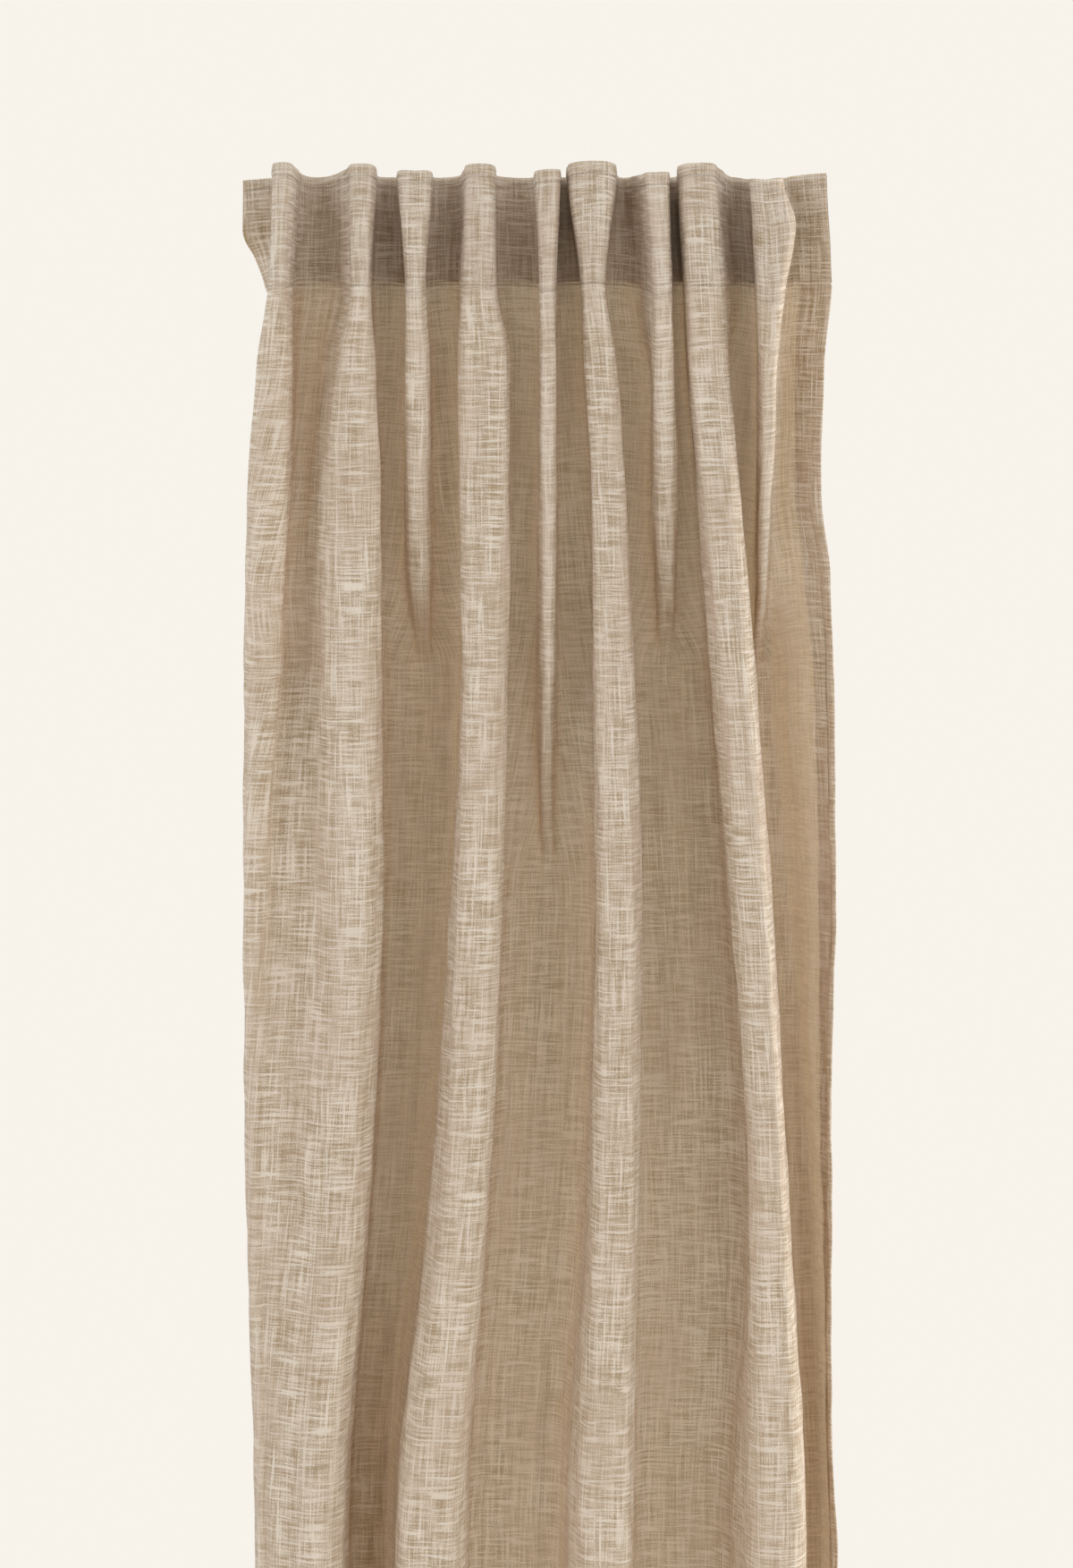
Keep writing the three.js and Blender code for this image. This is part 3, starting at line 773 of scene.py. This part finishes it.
def linen_material():
    """A half-sheer slubby plain weave: heathered yarns both ways, with thick stretches in them. Its
    colour also holds a painted highlight along sharp fold edges and painted shade along the sewn grooves
    and beside the rolled edge.
    """
    shader = Shader(bpy.data.materials.new("linen"))
    flat = shader.flat()
    place = shader.node("ShaderNodeSeparateXYZ", {0: flat}).outputs
    warp = shader.stretched_noise(flat, YARN, 0.035, 2.0)
    weft = shader.stretched_noise(flat, 0.024, YARN, 2.0)
    grain = shader.stretched_noise(flat, 0.0011, 0.0011, 1.0)
    slub_weft = shader.range(shader.stretched_noise(flat, 0.034, SLUB, 0.0), 0.62, 0.75)
    slub_warp = shader.range(shader.stretched_noise(flat, SLUB, 0.05, 0.0), 0.64, 0.77)
    slubs = shader.math("MAXIMUM", slub_weft, shader.math("MULTIPLY", slub_warp, 0.8))
    bands = shader.total((shader.stretched_noise(flat, 0.006, 0.4, 1.0), 0.6),
                         (shader.stretched_noise(flat, 0.3, 0.005, 1.0), 0.4))
    yarn = shader.total((warp, 0.32), (weft, 0.40), (grain, 0.28))
    tone = shader.total((shader.range(yarn, 0.39, 0.61), 0.86), (slubs, 0.6),
                        (shader.range(bands, 0.35, 0.65, -1.0, 1.0), 0.12))
    colour = shader.mix(shader.math("MINIMUM", tone, 1.0), LINEN_DEEP, LINEN_PALE)
    blotch = shader.stretched_noise(flat, 0.05, 0.11, 2.0)
    colour = shader.mix(shader.range(blotch, 0.4, 0.7, 0.0, 0.3), colour, LINEN_PINK)
    # Painted highlight: the colour is lightened towards the pale yarn where the cloth bends sharply at
    # fold edges.
    bend = shader.node("ShaderNodeAttribute", attribute_name="bend").outputs["Fac"]
    colour = shader.mix(shader.range(bend, 0.25, 1.0, 0.0, 0.3), colour, LINEN_PALE)
    # Painted shade: dark lines along the sewn grooves and along the groove beside the rolled edge, mixed
    # into the colour.
    beside_roll = shader.line(place[0], (PANEL_WIDTH - ROLLED_EDGE) * MM, ROLL_LINE)
    seam = shader.math("MULTIPLY", beside_roll, shader.range(place[1], *ROLL_LINE_FADES, 1.0, 0.0))
    for v in (TOP_STITCH, BAND_HEIGHT, HEM_SEAM):
        seam = shader.math("MAXIMUM", seam, shader.line(place[1], -v * MM, SEAM_SHADE_LINE))
    colour = shader.mix(shader.math("MULTIPLY", seam, 0.3), colour, LINEN_SEAM_SHADE)
    bump = shader.bump(shader.total((yarn, 1.0), (slubs, 0.4)), 0.5, 0.0008)
    cloth = shader.node("ShaderNodeBsdfPrincipled", {
        "Base Color": colour, "Roughness": 0.9, "Specular IOR Level": 0.12, "Sheen Weight": 0.08,
        "Sheen Roughness": 0.6, "Normal": bump})
    thick = shader.total((slubs, 0.6), (shader.range(yarn, 0.36, 0.64), 0.35))
    glow = shader.mix(shader.math("MAXIMUM", thick, seam), LINEN_GLOW, LINEN_SHADE)
    through = shader.node("ShaderNodeBsdfTranslucent", {"Color": glow, "Normal": bump})
    return shader.finish(shader.node(
        "ShaderNodeMixShader", {0: LINEN_SHEER, 1: cloth.outputs[0], 2: through.outputs[0]}))


def ribbed_material(name, deep, pale, rib):
    """A close woven tape or strap: fine ribs across it, with a little variation from yarn to yarn."""
    shader = Shader(bpy.data.materials.new(name))
    flat = shader.flat()
    inputs = {"Vector": flat, "Scale": 1 / rib / 3, "Distortion": 0.4, "Detail": 1.0}
    ribs = shader.node("ShaderNodeTexWave", inputs, bands_direction="Y").outputs["Fac"]
    yarn = shader.stretched_noise(flat, 0.0007, 0.006, 1.0)
    worn = shader.stretched_noise(flat, 0.02, 0.03, 2.0)
    tone = shader.total((ribs, 0.35), (yarn, 0.45), (worn, 0.2))
    colour = shader.mix(shader.range(tone, 0.3, 0.7), deep, pale)
    bump = shader.bump(tone, 0.6, 0.0005)
    return shader.finish(shader.node("ShaderNodeBsdfPrincipled", {
        "Base Color": colour, "Roughness": 0.85, "Specular IOR Level": 0.2, "Sheen Weight": 0.1,
        "Normal": bump}))


def thread_material():
    """Spun thread, a little uneven along its length."""
    shader = Shader(bpy.data.materials.new("thread"))
    uneven = shader.stretched_noise(shader.flat(), 0.0006, 0.0006, 1.0)
    colour = shader.mix(uneven, THREAD_DEEP, THREAD_PALE)
    bump = shader.bump(uneven, 0.4, 0.0003)
    return shader.finish(shader.node("ShaderNodeBsdfPrincipled", {
        "Base Color": colour, "Roughness": 0.7, "Specular IOR Level": 0.3, "Normal": bump}))


def satin_material():
    """Blank label satin: fine floats along it, smooth and a little glossy."""
    shader = Shader(bpy.data.materials.new("satin"))
    floats = shader.stretched_noise(shader.flat(), 0.0004, 0.005, 1.0)
    colour = shader.mix(floats, SATIN_DEEP, SATIN_PALE)
    bump = shader.bump(floats, 0.3, 0.0003)
    return shader.finish(shader.node("ShaderNodeBsdfPrincipled", {
        "Base Color": colour, "Roughness": 0.4, "Sheen Weight": 0.2, "Normal": bump}))


# ---- The pieces ----


def build_cloth(cloth, material):
    """The woven cloth in its gathered shape."""
    whole = grid_object("cloth", cloth.points, cloth.u, cloth.v, material, cloth.bend)
    split_at_tabs(whole, sections("cloth_section"), PANEL_LENGTH * MM)


def build_tape(cloth, material):
    """The heading tape, with its upper and lower edges sewn down to the cloth."""
    v = np.arange(TAPE_INSET, BAND_HEIGHT - TAPE_INSET + 0.1, TAPE_ROW)
    v = np.concatenate([v[:1], v, v[-1:]])
    offset = np.full(len(v), LAYER_GAP)
    offset[[0, -1]] = SEWN_DOWN
    points = cloth.layer(cloth.u, v, offset[:, None])
    whole = grid_object("heading_tape_cloth", points, cloth.u, v, material)
    split_at_tabs(whole, sections("heading_tape"), BAND_HEIGHT * MM)


def build_bottom_hem(cloth, material):
    """The bottom hem: the cloth turned round its lower edge and sewn to its own back."""
    v = np.concatenate([[HEM_SEAM], cloth.v[cloth.v >= HEM_SEAM]])
    offset = np.full(len(v), LAYER_GAP)
    offset[0] = SEWN_DOWN
    layer = cloth.layer(cloth.u, v, offset[:, None])
    turn = cloth.turned_edge(cloth.u, np.full(len(cloth.u), PANEL_LENGTH), np.array([0, 0, -1.0]))
    points = np.concatenate([layer[:-1], np.stack(turn[::-1])])
    flat_v = np.concatenate([v[:-1], PANEL_LENGTH + np.linspace(0, LAYER_GAP, len(turn))])
    whole = grid_object("bottom_hem_cloth", points, cloth.u, flat_v, material)
    split_at_tabs(whole, sections("bottom_hem"), (BOTTOM_HEM_HEIGHT + LAYER_GAP) * MM)


def build_side_hem(cloth, side, material):
    """A side hem: the cloth turned round its left (-1) or right (1) edge and sewn to its own back."""
    v = cloth.v[(cloth.v >= BAND_HEIGHT) & (cloth.v <= HEM_SEAM)]
    edge = 0.0 if side < 0 else PANEL_WIDTH
    steps = np.linspace(SIDE_HEM_WIDTH, 0, SIDE_HEM_COLUMNS)
    u = edge - side * np.concatenate([steps[:1], steps])
    offset = np.full(len(u), LAYER_GAP)
    offset[0] = SEWN_DOWN
    layer = cloth.layer(u, v, offset)
    beside = edge - EDGE_SLOPE_OVER * side
    at_edge, inside = (cloth.over(cloth.points, np.full(len(v), place), v) for place in (edge, beside))
    outward = (at_edge - inside) / np.linalg.norm(at_edge - inside, axis=1, keepdims=True)
    turn = cloth.turned_edge(np.full(len(v), edge), v, outward)
    points = np.concatenate([layer[:, :-1], np.stack(turn[::-1], 1)], 1)
    flat_u = np.concatenate([u[:-1], edge + side * np.linspace(0, LAYER_GAP, len(turn))])
    name = "left" if side < 0 else "right"
    if side < 0:
        points, flat_u = points[:, ::-1], flat_u[::-1]
    whole = grid_object(f"side_hem_cloth_{name}", points, flat_u, v, material)
    split_at_tabs(whole, lambda k: [f"side_hem_{name}"], float(v[-1] - v[0]) * MM)


def build_label(cloth, material):
    """A blank label folded in two behind the left flap, with its ends sewn down and its fold hanging."""
    u = LABEL["from_edge"] + np.linspace(0, LABEL["width"], LABEL_COLUMNS)
    top = PANEL_LENGTH - LABEL["from_bottom"] - LABEL["height"]
    down = np.linspace(0, 1, LABEL_ROWS)
    near = LABEL_NEAR[0] + LABEL_NEAR[1] * down
    far = LABEL_FAR[0] + LABEL_FAR[1] * np.sin(np.pi * down / 2)
    far[-1] = near[-1] + LABEL_FOLD
    v = top + LABEL["height"] * np.concatenate([down, down[::-1]])
    offset = np.concatenate([near, far[::-1]])
    whole = grid_object("label_cloth", cloth.layer(u, v, offset[:, None]), u, v, material)
    split_at_tabs(whole, lambda k: ["care_label"], 2 * LABEL["height"] * MM)


# A stitch: a stretched bead with two ends, two sides, a top and a bottom.
BEAD = np.array([(1, 0, 0), (-1, 0, 0), (0, 1, 0), (0, -1, 0), (0, 0, 1), (0, 0, -0.6)], float)
BEAD_FACES = np.array([
    (0, 2, 4), (2, 1, 4), (1, 3, 4), (3, 0, 4), (2, 0, 5), (1, 2, 5), (3, 1, 5), (0, 3, 5),
])


def stitch_mesh(name, middles, along, outward, material):
    """Stitches at their middles, each along its thread and standing outward."""
    beside = np.cross(outward, along)
    axes = np.stack([along * STITCH[0], beside * STITCH[1], outward * STITCH[2]], 1)
    points = middles[:, None] + np.einsum("bk,nkc->nbc", BEAD, axes)
    first = len(BEAD) * np.arange(len(middles))
    corners = (BEAD_FACES[None] + first[:, None, None]).reshape(-1)
    flat = points.reshape(-1, 3)[corners][:, [0, 2]] * MM
    totals = np.full(len(corners) // 3, 3)
    bend = np.zeros(points[..., 0].size)
    made = new_mesh(name, points.reshape(-1, 3) * MM, corners, totals, flat, bend)
    made.data.materials.append(material)
    return made


def build_stitches(cloth, material):
    """The rows of stitches along the top edge, the heading's seam and the hems, on the cloth's front."""
    across = np.arange(STITCH_PITCH, PANEL_WIDTH - 1, STITCH_PITCH)
    down = np.arange(BAND_HEIGHT + STITCH_PITCH, HEM_SEAM, STITCH_PITCH)
    rows = [(across, np.full(len(across), v), (1.0, 0.0)) for v in (TOP_STITCH, BAND_HEIGHT, HEM_SEAM)]
    sides = SIDE_STITCH, PANEL_WIDTH - SIDE_STITCH
    rows += [(np.full(len(down), u), down, (0.0, 1.0)) for u in sides]
    u, v = (np.concatenate([row[k] for row in rows]) for k in (0, 1))
    way = np.concatenate([np.tile(row[2], (len(row[0]), 1)) for row in rows])
    outward = -cloth.over(cloth.normals, u, v)
    outward /= np.linalg.norm(outward, axis=1, keepdims=True)
    ahead = cloth.over(cloth.points, u + way[:, 0], v + way[:, 1])
    middles = cloth.over(cloth.points, u, v)
    along = (ahead - middles) / np.linalg.norm(ahead - middles, axis=1, keepdims=True)
    whole = stitch_mesh("stitches", middles + STITCH_STANDS * outward, along, outward, material)
    split_at_tabs(whole, lambda k: [])


def strap_path():
    """The strap's middle from its upper sewn end, round behind the rod, to its lower one, as (y, z)."""
    loop = np.radians(np.linspace(*STRAP_LOOP, STRAP_LOOP_STEPS))
    leg = np.linspace(0, 1, STRAP_LEG_STEPS)[1:]
    start = TAB_LOOP * np.array([np.cos(loop[-1]), np.sin(loop[-1])])
    end = np.array([TAB_SEWN, TAB_BOTTOM + SEWN_PATCH])
    points = np.concatenate([
        [(TAB_SEWN, TAB_TOP), *((TAB_SEWN + back, TAB_TOP - down) for back, down in STRAP_JOG)],
        TAB_LOOP * np.stack([np.cos(loop), np.sin(loop)], 1),
        start + leg[:, None] * (end - start),
        [(TAB_SEWN, end[1] - part * SEWN_PATCH) for part in (0.25, 0.5, 0.75, 1.0)],
    ])
    far = np.concatenate([[0], np.cumsum(np.linalg.norm(np.diff(points, axis=0), axis=1))])
    even = np.linspace(0, far[-1], STRAP_STEPS)
    path = np.stack([np.interp(even, far, points[:, k]) for k in (0, 1)], 1)
    return soften(path, 0, 2), even


def swing_with_flap(points):
    """Turns what hangs below the rod with the left flap, about the flap's fold line."""
    z = points[..., 2]
    foot = np.stack([left_foot(z), np.full(z.shape, CLOTH_PLANE)], -1)
    turn = np.radians(np.minimum(at(LEFT_EDGE_TURN, z), 180.0) - 180)
    x, y = np.moveaxis(points[..., :2] - foot, -1, 0)
    turned_x, turned_y = x * np.cos(turn) - y * np.sin(turn), x * np.sin(turn) + y * np.cos(turn)
    return np.concatenate([foot + np.stack([turned_x, turned_y], -1), points[..., 2:]], -1)


def box_stitches(width, height):
    """Where the stitches of two rows are, about the middle of a sewn patch."""
    x = np.arange(-width / 2, width / 2 + 0.1, STITCH_PITCH)
    return np.tile(x, 2), np.repeat([-height / 2, height / 2], len(x))


def build_strap(tab, middle, material, thread):
    """One tab: a ribbed strap with thick selvedges, and the stitches on its lower sewn end."""
    path, far = strap_path()
    way = np.gradient(path, axis=0)
    way /= np.linalg.norm(way, axis=1, keepdims=True)
    out = np.stack([way[:, 1], -way[:, 0]], 1)
    across = np.concatenate([np.linspace(-1, 1, STRAP_COLUMNS), np.linspace(1, -1, STRAP_COLUMNS)])
    side = np.repeat([1.0, -1.0], STRAP_COLUMNS)
    thick = TAB_THICKNESS / 2 * side * np.where(np.abs(across) > SELVEDGE, 1.0, STRAP_BODY)
    thick[np.abs(across) == 1] = 0
    ring_x = middle / MM + across * TAB_WIDTH / 2
    y = path[:, None, 0] + out[:, None, 0] * thick
    z = path[:, None, 1] + out[:, None, 1] * thick
    points = np.stack([np.broadcast_to(ring_x, y.shape), y, z], -1)
    points = np.concatenate([points, points[:, :1]], 1)
    loose = tab == TABS[0]
    points = swing_with_flap(points) if loose else points
    strap = grid_object(f"strap_{tab}", points, np.append(ring_x, ring_x[0]), far, material)
    close_up(strap)
    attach(strap, f"tab_{tab}")
    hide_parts(f"back_tab_{tab}")
    x, z = box_stitches(*STRAP_STITCH)
    y = np.full(len(x), TAB_SEWN + STRAP_STITCH_STANDS)
    middles = np.stack([middle / MM + x, y, TAB_BOTTOM + SEWN_PATCH / 2 + z], 1)
    along = np.tile((1.0, 0.0, 0.0), (len(x), 1))
    outward = np.tile((0.0, 1.0, 0.0), (len(x), 1))
    middles = swing_with_flap(middles) if loose else middles
    sewn = stitch_mesh(f"strap_stitches_{tab}", middles, along, outward, thread)
    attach(sewn, f"tab_{tab}")


# ---- Light and floor ----


def build_light():
    """Soft daylight from all round: strongest from the sides, and weaker from behind the panel."""
    shader = Shader(bpy.data.worlds.new("studio"))
    generated = shader.node("ShaderNodeTexCoord").outputs["Generated"]
    way = shader.node("ShaderNodeSeparateXYZ", {0: generated}).outputs
    sideways = shader.math("ABSOLUTE", way["X"])
    ahead = shader.range(sideways, *AHEAD_TO_SIDES, LIGHT_AHEAD, LIGHT_FROM_SIDES)
    behind = shader.range(way["Y"], *FRONT_TO_BEHIND, 1, LIGHT_BEHIND)
    strength = shader.math("MULTIPLY", ahead, behind)
    ambient = shader.node("ShaderNodeBackground", {"Color": DAYLIGHT, "Strength": strength})
    shown = shader.node("ShaderNodeBackground", {"Color": BACKDROP})
    seen = shader.node("ShaderNodeLightPath").outputs["Is Camera Ray"]
    mixed = shader.node("ShaderNodeMixShader", {0: seen, 1: ambient.outputs[0], 2: shown.outputs[0]})
    bpy.context.scene.world = shader.finish(mixed, "ShaderNodeOutputWorld")
    bpy.context.scene.view_settings.view_transform = "Standard"
    area_light("key", **KEY_LIGHT)
    area_light("rim", **RIM_LIGHT)


def area_light(name, place, target, size, power, colour):
    """A square area light at a place, turned to its target."""
    data = bpy.data.lights.new(name, "AREA")
    data.shape = "SQUARE"
    data.size = size
    data.energy = power
    data.color = colour
    light = bpy.data.objects.new(name, data)
    bpy.context.scene.collection.objects.link(light)
    light.location = place
    light.rotation_euler = (Vector(target) - Vector(place)).to_track_quat("-Z", "Y").to_euler()


def build_floor():
    """A plain floor a little below the bottom hem."""
    mesh = bpy.data.meshes.new("floor")
    z = cad_bounds[0].z - FLOOR_BELOW
    corners = [(x * FLOOR_REACH, y * FLOOR_REACH, z) for x, y in ((-1, -1), (1, -1), (1, 1), (-1, 1))]
    mesh.from_pydata(corners, [], [(0, 1, 2, 3)])
    floor = bpy.data.objects.new("floor", mesh)
    bpy.context.scene.collection.objects.link(floor)
    shader = Shader(bpy.data.materials.new("floor"))
    base = shader.node("ShaderNodeBsdfPrincipled", {"Base Color": FLOOR_COLOUR, "Roughness": 0.9})
    mesh.materials.append(shader.finish(base))


build_camera()
build_light()
build_floor()
linen = linen_material()
webbing = ribbed_material("webbing", WEBBING_DEEP, WEBBING_PALE, WEBBING_RIB)
tape = ribbed_material("tape", TAPE_DEEP, TAPE_PALE, TAPE_RIB)
thread = thread_material()
gathered = Cloth()
build_cloth(gathered, linen)
build_tape(gathered, tape)
build_bottom_hem(gathered, linen)
build_side_hem(gathered, -1, linen)
build_side_hem(gathered, 1, linen)
build_label(gathered, satin_material())
build_stitches(gathered, thread)
for tab_name, tab_middle in zip(TABS, tab_middles()):
    build_strap(tab_name, tab_middle, webbing, thread)
